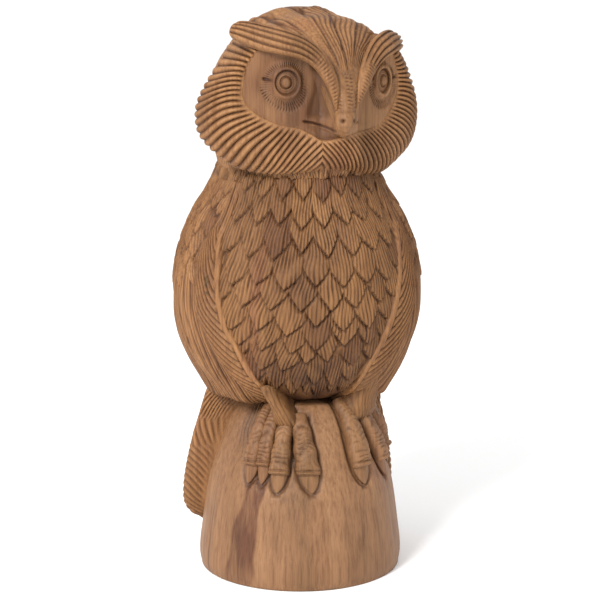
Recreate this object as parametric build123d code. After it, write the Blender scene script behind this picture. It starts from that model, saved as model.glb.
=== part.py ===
from build123d import *

import os
from math import cos, radians, sin

# A carved wooden owl that perches on a domed post, all in millimetres.
#
# The owl faces -Y, +Z is up, and the origin is the centre of the post's flat foot. The post, the torso
# and the back of the head are turned outlines. The wings, the legs and the tail are pieces of turned
# shells that follow them. The face is a mosaic: its members share one front view, they stand on the
# flat front of the head block, and each is cut to its own depth.

# Driving dimensions
HEIGHT = 306.0  # floor to crown
PERCH_Z = 97.0  # the level where the belly rests on the post
NECK_Z = 219.0  # the level where the head meets the torso
HEAD_TURN = 6.0  # degrees that the head looks to the owl's left
BODY_CENTRE_Y = 6.0
HEAD_CENTRE_Y = 4.0
BLOCK_FRONT_Y = -20.0  # the flat front of the head block
BLOCK_HALF_WIDTH = 45.0
FACE_TOP_Z = 289.0
RUFF_CENTRE = (0.0, 2.0, 252.0)
RUFF_HALF_AXES = (66.0, 54.0, 47.0)
RUFF_BACK_Y = 4.0
DISC_RADIUS = 81.0  # the cheeks bend round a vertical cylinder of this radius
DISC_FRONT_Y = -47.0
BROW_RADIUS = 72.0
BROW_FRONT_Y = -54.0
EYE_RADIUS = 9.5
EYE_PLACE = (27.0, -39.5, 267.0)
FOOT_ANGLES = {"right": -30.0, "left": 42.0}  # degrees from straight ahead, towards +X
TOE_COUNT = 4
TOE_STEP = 12.5  # degrees between neighbouring toes
DIGIT_GAP = 0.5  # the toes and claws are straight where the post bulges
LEG_SWEEP = 44.0  # degrees of the post that one leg covers
LEG_FOOT_Z = 84.0
CLAW_TIP_Z = 51.0

# Turned outlines, each as (radius, height) from the bottom up
POST_OUTLINE = [(55.4, 0), (56.0, 8), (54.8, 20), (51.2, 46), (46.6, 62), (43.0, 72), (38.6, 83),
                (33.5, 91), (28.0, PERCH_Z)]
TORSO_OUTLINE = [(36, PERCH_Z), (44, 103), (52, 114), (58.5, 127), (62.8, 145), (62.6, 160),
                 (59.5, 178), (54.5, 193), (49.3, 206), (45.5, NECK_Z)]
HEAD_OUTLINE = [(46, NECK_Z), (50, 234), (52, 249), (51, 262), (47.3, 275), (41.2, 286),
                (32.5, 295), (20.5, 302), (0, HEIGHT)]
WING_OUTLINE = [(46.5, 88), (49.5, 97), (52.5, 105), (59.0, 117), (64.8, 131), (67.8, 146),
                (67.4, 163), (64.2, 179), (58.2, 196), (51.6, 209), (46.5, NECK_Z)]
WING_INNER_R = 41.0
TAIL_OUTLINE = [(57, 22), (63, 27), (65, 36), (64, 47), (61.3, 57), (58, 69), (54.5, 83), (50, 97)]
TAIL_INNER_R = 38.0
LEG_OUTLINE = [(41.5, LEG_FOOT_Z), (44.5, 88), (43, 93), (38, PERCH_Z)]

# Front views, as the +X half from the bottom up, or as a whole ring for a brow
DISC_SHAPE = [(0, 241), (14, 245.5), (25, 246.5), (36, 249), (44.5, 254), (47, 263), (45, 275),
              (38, FACE_TOP_Z), (0, FACE_TOP_Z)]
RUFF_SHAPE = [(0, 224.5), (16, 221.5), (33, 219.5), (46, 222), (57, 231.5), (64, 248), (62, 265),
              (55, 279), (46, FACE_TOP_Z), (0, FACE_TOP_Z)]
BILL_SHAPE = [(0, 241.5), (5, 245), (7, 251), (5.6, 258), (8, 268), (14, 280), (22, FACE_TOP_Z),
              (0, FACE_TOP_Z)]
BROW_SHAPE = [(54.5, 291), (50, 296.5), (40, 296), (28, 291.5), (17, 284), (9.5, 273), (6, 262),
              (6.5, 256.5), (12, 266), (20, 277.5), (31, 283), (44, 284.5), (52, 286)]
# Side views, as (y, z)
BILL_PROFILE = [(-52, 242.5), (-60, 250), (-57, 257), (-53, 265), (-45, 278), (-33, FACE_TOP_Z)]
WING_FRONTS = {"right": [(-13, 214), (-24, 196), (-33, 172), (-34, 145), (-31, 122), (-24, 104)],
               "left": [(-17, 214), (-32, 196), (-45, 172), (-47, 145), (-42, 122), (-29, 106)]}
WING_BACK = [(-4, 92.5), (16, 89.5), (38, 98), (54, 122), (60, 150), (57, 176), (46, 198), (22, 212)]
# The tail fan from behind, as its +X half from the top down
TAIL_SHAPE = [(22, 97), (27, 88), (40, 76), (50, 60), (55, 42), (50, 29), (34, 22)]
# Stations down a toe and its claw: (distance out from the post's outline, height, half width)
TOE_STATIONS = [(4.5, 83.5, 3.9), (7.0, 78, 4.5), (6.6, 70, 4.9), (5.6, 61.5, 4.6)]
CLAW_STATIONS = [(5.0, 61.4, 3.8), (3.6, 56, 2.8), (1.4, CLAW_TIP_Z, 0.9)]


def at_height(outline, z):
    """The radius of a turned outline at a height, along straight lines between its points."""
    for (r_low, z_low), (r_high, z_high) in zip(outline, outline[1:]):
        if z_low <= z <= z_high:
            return r_low + (r_high - r_low) * (z - z_low) / (z_high - z_low)
    raise ValueError(f"no outline at {z}")


def in_xz(points):
    return [(a, 0, z) for a, z in points]


def inside(radius):
    """The part of a section that lies within a radius."""
    return make_face(Polyline((0, 0, -10), (radius, 0, -10), (radius, 0, 400), (0, 0, 400), close=True))


def section(outline):
    """Half of the lengthwise section of a turned solid."""
    points = in_xz(outline)
    foot, top = (0, 0, outline[0][1]), (0, 0, outline[-1][1])
    edges = [Spline(*points), Line(top, foot), Line(foot, points[0])]
    if outline[-1][0] > 0:
        edges.append(Line(points[-1], top))
    return make_face(edges)


def turned(face, start=0.0, sweep=360.0):
    """The solid that a section sweeps round the Z axis."""
    return Rot(Z=start) * revolve(face, Axis.Z, revolution_arc=sweep)


def half_face(half):
    """The face in the XZ plane inside a curve through half's points and its mirror image."""
    right = Spline(*in_xz(half[:-1]))
    left = Spline(*in_xz([(-x, z) for x, z in half[:-1]]))
    return make_face([right, left, Line(right @ 1, left @ 1)])


def ring_face(points, side=1):
    return make_face(Spline(*in_xz([(side * x, z) for x, z in points]), periodic=True))


def depth(face, front, back):
    """A front view given depth, from y = front to y = back."""
    return Pos(0, front, 0) * extrude(face, amount=back - front, dir=(0, 1, 0))


def biggest(shape):
    return max(shape.solids(), key=lambda solid: solid.volume)


def post():
    return turned(section(POST_OUTLINE))


def torso():
    return Pos(0, BODY_CENTRE_Y, 0) * turned(section(TORSO_OUTLINE))


def head_block(brows):
    """The back and crown of the head, cut flat in front and stepped at the sides for the face."""
    tall = FACE_TOP_Z - NECK_Z
    front_step = Box(200, 100, tall, align=(Align.CENTER, Align.MAX, Align.MIN))
    side_step = Box(50, 100, tall, align=(Align.MIN, Align.MAX, Align.MIN))
    block = Pos(0, HEAD_CENTRE_Y, 0) * turned(section(HEAD_OUTLINE))
    block -= Pos(0, BLOCK_FRONT_Y, NECK_Z) * front_step
    block -= Pos(BLOCK_HALF_WIDTH, RUFF_BACK_Y, NECK_Z) * side_step
    block -= Pos(-BLOCK_HALF_WIDTH - 50, RUFF_BACK_Y, NECK_Z) * side_step
    for brow_face in brows.values():
        block -= depth(brow_face, -90, BLOCK_FRONT_Y)
    return biggest(block)


def brow_faces():
    return {"right": ring_face(BROW_SHAPE, -1), "left": ring_face(BROW_SHAPE)}


def bent(face, radius, front_y, back_y=BLOCK_FRONT_Y):
    """A front view given depth, with its front rounded about a vertical cylinder."""
    blank = depth(face, -90, back_y)
    return blank & Pos(0, front_y + radius, RUFF_CENTRE[2]) * Cylinder(radius, 200)


def ruff(brows):
    """The ribbed collar round the face, which reaches back along the sides of the head block."""
    face = half_face(RUFF_SHAPE) - half_face(DISC_SHAPE)
    for brow_face in brows.values():
        face -= brow_face
    shell = Pos(*RUFF_CENTRE) * scale(Sphere(1), by=RUFF_HALF_AXES)
    front = depth(face, -90, BLOCK_FRONT_Y) & shell
    block_face = Pos(0, 0, NECK_Z + 50) * Rot(X=90) * Rectangle(2 * BLOCK_HALF_WIDTH, 200)
    arms = depth(half_face(RUFF_SHAPE) - block_face, BLOCK_FRONT_Y, RUFF_BACK_Y) & shell
    return biggest(front + arms)


def eye(side):
    x, y, z = EYE_PLACE
    return Pos(side * x, y, z) * Sphere(EYE_RADIUS)


def face_disc(brows, eyes):
    """The smooth cheeks, as one group of solids with sockets for the eyes."""
    face = half_face(DISC_SHAPE) - half_face(BILL_SHAPE)
    for brow_face in brows.values():
        face -= brow_face
    cheeks = bent(face, DISC_RADIUS, DISC_FRONT_Y)
    for ball in eyes:
        cheeks -= ball
    return Compound([s for s in cheeks.solids() if s.volume > 100])


def bill(brows):
    """The forehead ridge and the beak, whose front follows one side view."""
    face = half_face(BILL_SHAPE)
    for brow_face in brows.values():
        face -= brow_face
    profile = [(0, y, z) for y, z in BILL_PROFILE]
    back = [(0, BLOCK_FRONT_Y, BILL_PROFILE[i][1]) for i in (-1, 0)]
    outline = make_face([Spline(*profile), Polyline(profile[-1], *back, profile[0])])
    side_view = extrude(outline, amount=60, dir=(1, 0, 0), both=True)
    return biggest(depth(face, -90, BLOCK_FRONT_Y) & side_view)


def wing(side):
    """A piece of a turned shell that follows the torso, cut to the wing's side view."""
    shell_section = section(WING_OUTLINE) - section(TORSO_OUTLINE) - inside(WING_INNER_R)
    first = 180 if side < 0 else 0
    shell = Pos(0, BODY_CENTRE_Y, 0) * turned(shell_section, start=first - 75, sweep=150)
    edge = WING_FRONTS["right" if side < 0 else "left"] + WING_BACK
    outline = make_face(Spline(*[(0, y, z) for y, z in edge], periodic=True))
    return biggest(shell & extrude(outline, amount=80, dir=(side, 0, 0)))


def tail():
    """A fan of the turned shell that follows the back of the post."""
    shell_section = section(TAIL_OUTLINE) - section(POST_OUTLINE) - inside(TAIL_INNER_R)
    shell = turned(shell_section, start=15, sweep=150)
    right, left = in_xz(TAIL_SHAPE), in_xz([(-x, z) for x, z in TAIL_SHAPE])
    fan = make_face([Spline(*right), Line(right[-1], left[-1]), Spline(*left), Line(left[0], right[0])])
    return biggest(shell & extrude(fan, amount=90, dir=(0, 1, 0)))


def leg(angle):
    """The feathered shank that spreads over the shoulder of the post."""
    shell_section = section(LEG_OUTLINE) - section(POST_OUTLINE)
    return biggest(turned(shell_section, start=angle - 90 - LEG_SWEEP / 2, sweep=LEG_SWEEP))


def station(angle, reach, z, half_width):
    """A domed section on the post at an angle from straight ahead, flat where it rests."""
    base = at_height(POST_OUTLINE, z) + DIGIT_GAP
    out = Vector(sin(radians(angle)), -cos(radians(angle)), 0)
    along = Vector(cos(radians(angle)), sin(radians(angle)), 0)
    centre = out * base + Vector(0, 0, z)
    left, right, crest = centre - along * half_width, centre + along * half_width, centre + out * reach
    return make_face([ThreePointArc(left, crest, right), Line(right, left)])


def digits(angle, stations):
    """One foot's toes or claws, each lofted down the post."""
    first = angle - TOE_STEP * (TOE_COUNT - 1) / 2
    angles = [first + TOE_STEP * i for i in range(TOE_COUNT)]
    return Compound([loft([station(a, *s) for s in stations], ruled=True) for a in angles])


def face_members():
    """Every member of the head, before the head is turned."""
    brows = brow_faces()
    eyes = {"right": eye(-1), "left": eye(1)}
    members = {"head": head_block(brows), "ruff": ruff(brows), "bill": bill(brows)}
    members["face_disc"] = face_disc(brows, eyes.values())
    for side, ball in eyes.items():
        members[f"eye_{side}"] = ball
        members[f"brow_{side}"] = biggest(bent(brows[side], BROW_RADIUS, BROW_FRONT_Y))
    return members


def build():
    parts = {"post": post(), "torso": torso(), "tail": tail()}
    for name, member in face_members().items():
        parts[name] = Rot(Z=HEAD_TURN) * member
    for side, sign in (("right", -1), ("left", 1)):
        parts[f"wing_{side}"] = wing(sign)
        parts[f"leg_{side}"] = leg(FOOT_ANGLES[side])
        parts[f"toes_{side}"] = digits(FOOT_ANGLES[side], TOE_STATIONS)
        parts[f"claws_{side}"] = digits(FOOT_ANGLES[side], CLAW_STATIONS)
    return parts


os.makedirs("parts", exist_ok=True)
for node, shape in build().items():
    export_step(shape, f"parts/{node}.step")
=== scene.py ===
import math

import bpy
import numpy as np
from numpy import clip, cos, exp, hypot, interp, linspace, maximum, minimum, radians, sin, sqrt, stack, where
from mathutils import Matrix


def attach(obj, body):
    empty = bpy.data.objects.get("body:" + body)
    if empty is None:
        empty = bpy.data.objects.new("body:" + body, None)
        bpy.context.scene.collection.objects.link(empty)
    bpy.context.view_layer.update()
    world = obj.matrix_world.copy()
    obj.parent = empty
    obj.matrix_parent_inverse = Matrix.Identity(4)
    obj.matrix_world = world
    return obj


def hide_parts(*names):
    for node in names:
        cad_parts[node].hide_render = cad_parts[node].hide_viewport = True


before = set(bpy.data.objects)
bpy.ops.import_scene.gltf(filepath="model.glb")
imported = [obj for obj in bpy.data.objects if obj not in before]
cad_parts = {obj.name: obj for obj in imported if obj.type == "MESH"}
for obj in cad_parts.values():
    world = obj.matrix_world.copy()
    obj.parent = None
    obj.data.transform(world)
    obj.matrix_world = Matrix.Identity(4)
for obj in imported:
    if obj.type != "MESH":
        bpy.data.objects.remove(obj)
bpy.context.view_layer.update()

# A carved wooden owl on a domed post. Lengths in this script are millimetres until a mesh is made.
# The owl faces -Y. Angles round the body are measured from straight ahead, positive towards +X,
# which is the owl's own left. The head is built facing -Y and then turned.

MM = 0.001
rng = np.random.default_rng(7)


# ---- small tools

def curve(points, count):
    """A smooth curve through points, resampled evenly along its length."""
    p = np.array(points, float)
    ends = np.vstack([2 * p[0] - p[1], p, 2 * p[-1] - p[-2]])
    pieces = []
    for i in range(1, len(ends) - 2):
        a, b, c, d = ends[i - 1:i + 3]
        t = linspace(0, 1, 40, endpoint=False)[:, None]
        pieces.append(0.5 * (2 * b + (c - a) * t + (2 * a - 5 * b + 4 * c - d) * t ** 2
                             + (3 * b - a - 3 * c + d) * t ** 3))
    fine = np.vstack(pieces + [p[-1:]])
    length = np.concatenate([[0], np.cumsum(np.linalg.norm(np.diff(fine, axis=0), axis=1))])
    want = linspace(0, length[-1], count)
    return stack([interp(want, length, fine[:, k]) for k in range(p.shape[1])], 1)


def unit(x):
    """x held between 0 and 1."""
    return clip(x, 0.0, 1.0)


def ramp(x, low, high):
    """0 below low, 1 above high, smooth between."""
    t = unit((x - low) / (high - low))
    return t * t * (3 - 2 * t)


def fall(x, low, high):
    """1 below low, 0 above high, smooth between."""
    return ramp(-x, -high, -low)


def bump(x, centre, width):
    """A bell of height 1 at the centre."""
    return exp(-((x - centre) / width) ** 2)


def quarter(x, least=0.0):
    """A quarter circle: it leaves 0 steeply and arrives at 1 level."""
    return sqrt(clip(1 - (1 - unit(x)) ** 2, least, 1))


def wobble(x, y, seed, size):
    """Soft irregular values near -1..1 over a plane, with features about size across."""
    r = np.random.default_rng(seed)
    total = np.zeros(np.broadcast(x, y).shape)
    for _ in range(7):
        way, phase = r.uniform(0, 2 * math.pi, 2)
        k = r.uniform(0.6, 1.7) * 2 * math.pi / size / 1.6
        total += sin(k * (x * math.cos(way) + y * math.sin(way)) + phase)
    return total / 3.2


def vee(phase, sharp=1.0):
    """0 on the ridges and 1 in the narrow cuts, one cut to each whole number of phase."""
    return (1 - abs(sin(math.pi * phase))) ** sharp


def direction(v):
    """Vectors scaled to a length of 1."""
    return v / maximum(np.linalg.norm(v, axis=-1, keepdims=True), 1e-9)


def together(*parts):
    """Points, or other values in threes, from parts that are stretched to one shape."""
    return stack(np.broadcast_arrays(*parts), -1)


def outward(grid, wrap=False):
    """Unit normals of a grid whose columns run towards +X on the front and whose rows run up."""
    if wrap:
        du = np.roll(grid, -1, 1) - np.roll(grid, 1, 1)
    else:
        du = np.gradient(grid, axis=1)
    return direction(np.cross(du, np.gradient(grid, axis=0)))


def carved(grid, high, wrap=False):
    """A grid with every point moved outward by its height."""
    return grid + outward(grid, wrap) * high[..., None]


def some(count, rows):
    """Indices of a few rows, spread evenly from the first to the last."""
    return linspace(0, rows - 1, count).astype(int)


def turn_z(points, degrees):
    """Points turned about the upright axis of the figure."""
    c, s = math.cos(math.radians(degrees)), math.sin(math.radians(degrees))
    x, y, z = points[..., 0], points[..., 1], points[..., 2]
    return together(c * x - s * y, s * x + c * y, z)


def round_body(angle, radius, z, centre_y=0.0):
    """Points at an angle from ahead, a radius and a height, round an upright axis."""
    return together(radius * sin(angle), centre_y - radius * cos(angle), z)


# ---- making pieces

class Shape:
    """Vertices, faces, bake coordinates and carving values, collected before a mesh is made."""

    def __init__(self):
        self.points, self.values, self.faces, self.uvs = [], [], [], []
        self.count = 0

    def add(self, points, values):
        """Adds an array of points with their carving values, and gives their indices."""
        start = self.count
        self.points.append(points.reshape(-1, 3))
        self.values.append(np.broadcast_to(values, points.shape).reshape(-1, 3))
        self.count += len(self.points[-1])
        return start + np.arange(len(self.points[-1])).reshape(points.shape[:-1])

    def quads(self, a, b, c, d, uv):
        """Quads from four index arrays, with uv a list of four (u, v) arrays."""
        self.faces.extend(stack([a.ravel(), b.ravel(), c.ravel(), d.ravel()], 1).tolist())
        corner = [stack([u.ravel(), v.ravel()], 1) for u, v in uv]
        self.uvs.append(stack(corner, 1).reshape(-1, 2))

    def face(self, indices, uv):
        """One face of any size, baked at a single place."""
        self.faces.append([int(i) for i in indices])
        self.uvs.append(np.tile(np.array(uv, float), (len(indices), 1)))

    def grid(self, ids, window, wrap=False):
        """Quads over a grid of indices, laid out in a window (u0, v0, u1, v1) for baking."""
        rows, cols = ids.shape
        u0, v0, u1, v1 = window
        if wrap:
            ids = np.hstack([ids, ids[:, :1]])
            cols += 1
        u = np.broadcast_to(linspace(u0, u1, cols)[None, :], (rows, cols))
        v = np.broadcast_to(linspace(v0, v1, rows)[:, None], (rows, cols))
        spots = [(slice(None, -1), slice(None, -1)), (slice(None, -1), slice(1, None)),
                 (slice(1, None), slice(1, None)), (slice(1, None), slice(None, -1))]
        self.quads(*[ids[s] for s in spots], [(u[s], v[s]) for s in spots])

    def make(self, name, slot, turn=0.0):
        """Makes the piece that stands for the CAD node of the same name, with the wood of its slot."""
        points = np.vstack(self.points)
        if turn:
            points = turn_z(points, turn)
        mesh = bpy.data.meshes.new(name)
        mesh.from_pydata((points * MM).tolist(), [], self.faces)
        layer = mesh.uv_layers.new(name="OFBake")
        layer.data.foreach_set("uv", np.vstack(self.uvs).astype(np.float32).ravel())
        mesh.polygons.foreach_set("use_smooth", np.ones(len(mesh.polygons), bool))
        carve = mesh.color_attributes.new(name="carve", type="FLOAT_COLOR", domain="POINT")
        values = np.vstack(self.values)
        colours = np.hstack([values, np.ones((len(values), 1))])
        carve.data.foreach_set("color", colours.astype(np.float32).ravel())
        mesh.materials.append(WOODS[slot])
        piece = bpy.data.objects.new(name, mesh)
        bpy.context.scene.collection.objects.link(piece)
        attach(piece, "root")
        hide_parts(name)


def carving(painted_shade, tone=0.5, streak=0.0):
    """The three values a vertex carries: painted shade in the cuts and hollows, tone of the wood, which in
    places also carries painted shade in the cuts and lighter ridges, and share of a streak.
    """
    return together(unit(painted_shade), unit(tone), streak)


def add_turned(shape, grid, values):
    """A closed body of rings: columns wrap round, rows run up, and each end closes on a centre."""
    ids = shape.add(grid, values)
    shape.grid(ids, (0, 0.02, 1, 0.98), wrap=True)
    for row, v, flip in ((0, 0.0, False), (-1, 1.0, True)):
        centre = grid[row].mean(0)[None, None]
        hub = shape.add(centre, values[row].mean(0)[None, None])[0, 0]
        ring = ids[row]
        for i, (a, b) in enumerate(zip(ring, np.roll(ring, -1))):
            shape.face([a, hub, b] if not flip else [b, hub, a], (i / len(ring), v))


OUTER_V, INNER_V = 0.92, 0.94
# Carving values of the inner faces: painted shade, as they lie against other parts or behind them in shade, a
# middling tone and no streak
INNER_SHADED = (0.6, 0.5, 0.0)


def add_shell(shape, outer, inner, values):
    """A closed shell: a fine outer grid, an inner grid with the same columns, and four walls."""
    out, inn = shape.add(outer, values), shape.add(inner, np.array(INNER_SHADED))
    shape.grid(out, (0, 0, 1, OUTER_V))
    shape.grid(inn[:, ::-1], (0, INNER_V, 1, 1))
    u = linspace(0, 1, out.shape[1])
    for row, level in ((0, 0), (-1, OUTER_V)):
        a, b, c, d = out[row, :-1], out[row, 1:], inn[row, 1:], inn[row, :-1]
        v = np.full(len(a), level)
        left, right = (u[:-1], v), (u[1:], v)
        if row == 0:
            shape.quads(b, a, d, c, [right, left, left, right])
        else:
            shape.quads(a, b, c, d, [left, right, right, left])
    shape.face(list(out[:, 0]) + list(inn[::-1, 0]), (0, 0))
    shape.face(list(out[::-1, -1]) + list(inn[:, -1]), (1, 0))


def add_tube(shape, grid, values, window=(0, 0, 1, 1)):
    """A closed tube: columns go round the section, rows go along it, ends closed by a face."""
    values = np.broadcast_to(values, grid.shape)
    edge = grid - grid.mean(1, keepdims=True)
    turning = np.cross(edge, np.roll(edge, -1, 1) - edge).sum((0, 1))
    along = grid.mean(1)[-1] - grid.mean(1)[0]
    if np.dot(turning, along) < 0:
        grid, values = grid[:, ::-1], values[:, ::-1]
    ids = shape.add(grid, values)
    shape.grid(ids, window, wrap=True)
    shape.face(list(ids[0, ::-1]), window[:2])
    shape.face(list(ids[-1]), window[2:])


def make_piece(name, slot, add, *grids, turn=0.0):
    """A piece that is one closed body, made with one of the three ways above."""
    shape = Shape()
    add(shape, *grids)
    shape.make(name, slot, turn)


# ---- wood

HEARTWOOD = [(0.30, (0.156, 0.080, 0.038)), (0.46, (0.196, 0.099, 0.049)),
             (0.60, (0.231, 0.122, 0.062)), (0.75, (0.206, 0.097, 0.056))]


def wood(name, tint, roughness=0.62, streak=None):
    """Bare carved wood: upright grain through the whole log, with painted shade in the cuts against slightly
    lighter ridges.
    """
    material = bpy.data.materials.new(name)
    material.use_nodes = True
    nodes, links = material.node_tree.nodes, material.node_tree.links
    shader = nodes["Principled BSDF"]
    shader.inputs["Roughness"].default_value = roughness
    shader.inputs["Specular IOR Level"].default_value = 0.28

    def add_node(kind, sockets, **settings):
        """A node with its settings, and its inputs either linked or given a value."""
        node = nodes.new(kind)
        for key, value in settings.items():
            setattr(node, key, value)
        for key, value in sockets.items():
            if isinstance(value, bpy.types.NodeSocket):
                links.new(value, node.inputs[key])
            else:
                node.inputs[key].default_value = value
        return node

    place = add_node("ShaderNodeTexCoord", {}).outputs["Object"]

    def noise(scale, detail, rough=0.6, warp=0.0):
        mapping = add_node("ShaderNodeMapping", {"Vector": place, "Scale": scale})
        sockets = {"Vector": mapping.outputs["Vector"], "Scale": 1.0, "Detail": detail, "Roughness": rough}
        return add_node("ShaderNodeTexNoise", {**sockets, "Distortion": warp}).outputs["Fac"]

    def ramped(value, stops):
        node = add_node("ShaderNodeValToRGB", {"Fac": value})
        elements = node.color_ramp.elements
        while len(elements) < len(stops):
            elements.new(0.5)
        for element, (position, colour) in zip(elements, stops):
            element.position = position
            element.color = (*colour, 1)
        return node.outputs["Color"]

    def mixed(kind, factor, a, b):
        b = (*b, 1) if isinstance(b, tuple) else b
        sockets = {"Factor": factor, 6: a, 7: b}
        return add_node("ShaderNodeMix", sockets, data_type="RGBA", blend_type=kind).outputs[2]

    def maths(kind, a, b):
        return add_node("ShaderNodeMath", {0: a, 1: b}, operation=kind).outputs[0]

    # broad bands of heartwood, then the fine upright grain, then the pores
    bands = [(position, tuple(c * t for c, t in zip(colour, tint))) for position, colour in HEARTWOOD]
    colour = ramped(noise((38, 38, 7), 3.0, 0.55, 0.4), bands)
    lines = noise((620, 620, 14), 4.0, 0.62)
    grain = ramped(lines, [(0.32, (0.58, 0.50, 0.44)), (0.50, (1.0, 1.0, 0.99)), (0.70, (1.26, 1.27, 1.25))])
    colour = mixed("MULTIPLY", 0.7, colour, grain)
    pores = noise((1500, 1500, 60), 2.0, 0.5)
    flecks = ramped(pores, [(0.34, (0.70, 0.62, 0.56)), (0.46, (1, 1, 1))])
    colour = mixed("MULTIPLY", 0.45, colour, flecks)
    # what the vertices carry: tone first, then the painted shade of the cuts against slightly lighter ridges,
    # then a streak
    carve = add_node("ShaderNodeAttribute", {}, attribute_name="carve").outputs["Color"]
    painted_shade, tone, streaked = add_node("ShaderNodeSeparateColor", {"Color": carve}).outputs
    toned = ramped(tone, [(0.0, (0.64, 0.56, 0.54)), (0.5, (1, 1, 1)), (1.0, (1.30, 1.34, 1.40))])
    colour = mixed("MULTIPLY", 1.0, colour, toned)
    # painted shade: the colour runs from a little lighter where no shade is painted to deep in the cuts
    pale = mixed("MULTIPLY", 1.0, colour, (1.13, 1.13, 1.12))
    deep = mixed("MULTIPLY", 1.0, colour, (0.26, 0.18, 0.13))
    colour = mixed("MIX", maths("MULTIPLY", painted_shade, 0.92), pale, deep)
    if streak:
        ragged = ramped(noise((260, 260, 16), 3.0, 0.6), [(0.36, (0, 0, 0)), (0.56, (1, 1, 1))])
        dark_wood = mixed("MULTIPLY", 1.0, colour, streak)
        amount = maths("MULTIPLY", streaked, maths("ADD", 0.45, maths("MULTIPLY", ragged, 0.55)))
        colour = mixed("MIX", amount, colour, dark_wood)
    links.new(colour, shader.inputs["Base Color"])
    height = maths("ADD", lines, maths("MULTIPLY", pores, 0.4))
    relief = add_node("ShaderNodeBump", {"Strength": 0.35, "Distance": 0.0006, "Height": height})
    links.new(relief.outputs["Normal"], shader.inputs["Normal"])
    return material


WOODS = {"wood_post": wood("wood_post", (0.89, 0.86, 0.79), 0.55, streak=(0.44, 0.33, 0.32)),
         "wood_body": wood("wood_body", (0.72, 0.63, 0.42)),
         "wood_head": wood("wood_head", (0.89, 0.81, 0.62)),
         "wood_face": wood("wood_face", (0.80, 0.74, 0.60), 0.58),
         "wood_wing": wood("wood_wing", (0.84, 0.74, 0.53), streak=(0.30, 0.40, 0.32)),
         "wood_feet": wood("wood_feet", (0.88, 0.84, 0.72), 0.58, streak=(0.60, 0.50, 0.50))}


# ---- base surfaces

# Outlines are (radius, height) from the foot up, and the body and head stand behind the post's axis
BODY_Y = 6.0
HEAD_Y = 4.0
HEAD_TURN = 6.0
POST_R = curve([(55.0, 0), (56.0, 5), (55.8, 12), (54.8, 20), (51.2, 46), (46.6, 62), (43, 72),
                (38.6, 83), (33.5, 91), (28, 96.8)], 400)
TORSO_R = curve([(31, 97.2), (41, 102.5), (51.5, 113), (58.5, 127), (62.6, 145), (62.2, 160), (59, 178),
                 (54, 193), (48.6, 206), (44.5, 219), (42, 226)], 400)
WING_R = curve([(46.5, 88), (49.5, 97), (53.5, 105), (60, 117), (65.4, 131), (68, 146), (67.6, 163),
                (64.2, 179), (57.2, 196), (49.2, 209), (44.6, 219)], 400)
TAIL_R = curve([(53, 19.5), (58.5, 21.5), (62.4, 26), (65.2, 33), (64.6, 47), (60.4, 67.5), (56.4, 81),
                (51, 99)], 400)


def radius_at(outline, z):
    """The radius of an outline at a height."""
    return interp(z, outline[:, 1], outline[:, 0])


# ---- feathers

class Relief:
    """Heights, painted shade of the cuts and wood tone over a sheet of surface, in mm across and mm up."""

    def __init__(self, across, up):
        self.x, self.z = np.broadcast_arrays(across, up)
        self.high = np.zeros(self.x.shape)
        self.painted_shade = np.zeros(self.x.shape)
        self.tone = np.full(self.x.shape, 0.5)

    def lay(self, over, high, painted_shade, tone, box=...):
        """Replaces what is there by new values wherever over is true."""
        self.high[box] = where(over, high, self.high[box])
        self.painted_shade[box] = where(over, painted_shade, self.painted_shade[box])
        self.tone[box] = where(over, tone, self.tone[box])

    def feather(self, x, z, width, length, lean, rise=1.5, line=2.1, cut=1.4, blunt=0.0, edges=(1.0, 1.0)):
        """One pointed scale whose tip is at (x, z), laid over what is already there."""
        reach = max(width, length) + 3
        rows = where(abs(self.z[:, 0] - z - length / 2) < reach)[0]
        columns = where(abs(self.x[0] - x) < reach)[0]
        if len(rows) == 0 or len(columns) == 0:
            return
        box = (slice(rows[0], rows[-1] + 1), slice(columns[0], columns[-1] + 1))
        c, s = math.cos(lean), math.sin(lean)
        dx, dz = self.x[box] - x, self.z[box] - z
        up, side = dz * c + dx * s, dx * c - dz * s
        point = width * (0.74 - 0.2 * blunt)
        t = unit(up / point)
        half = width / 2 * (1 - (1 - t) ** (1.22 + blunt))
        inner = minimum((half - abs(side)) * 0.72, up)
        over = (inner > 0) & (up < length)
        near = (inner <= 0) & (inner > -1.6) & (up < length * 0.6) & (up > -1.8)
        at_tip = unit(1.35 - up / point) * where(side < 0, edges[0], edges[1])
        fade = unit(1 + inner / 1.6) ** 0.8 * at_tip
        # painted shade in the narrow cut that rings each scale's tip, and below in the scale's fine lines
        self.high[box] = where(near, self.high[box] - cut * fade, self.high[box])
        self.painted_shade[box] = where(near, maximum(self.painted_shade[box], fade), self.painted_shade[box])
        jitter = wobble(up, side, int(rng.integers(1 << 30)), 16)
        fan = side / line * (1 + 0.16 * up / length) + 0.35 * jitter + rng.uniform(0, 1)
        strength = 0.75 + 0.35 * wobble(up, side * 3, int(rng.integers(1 << 30)), 12)
        fine = vee(fan, 1.1) * clip(strength, 0.3, 1.2)
        body = 0.25 + rise * (1 - up / length) - 0.35 * (side / (width / 2)) ** 2
        body = body - 0.30 * exp(-inner / 0.5) * at_tip - 0.9 * fine
        tone = 0.5 + 0.20 * rng.standard_normal() + 0.14 * (0.6 - up / length)
        self.lay(over, body, 0.95 * fine, tone, box)


# Tip height, width, length and rise of the scales in each row, lowest row first
BREAST_ROWS = [(103, 11, 16, 1.0), (111.5, 12.5, 18, 1.2), (121, 13.5, 20, 1.4), (131, 14.5, 22, 1.5),
               (141.5, 15, 23, 1.6), (153.5, 15, 25, 1.6), (166, 15, 26, 1.6), (181, 15, 26, 1.5),
               (195.5, 14.5, 26, 1.4), (209, 14, 25, 1.2), (220, 12, 22, 0.8)]
TORSO_MM = 60
# Columns of the torso in degrees, dense on the breast and the back and sparse under the wings
TORSO_COLUMNS = [(-180, -126, 120), (-126, -70, 30), (-70, 64, 450), (64, 126, 30), (126, 180, 120)]


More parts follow.
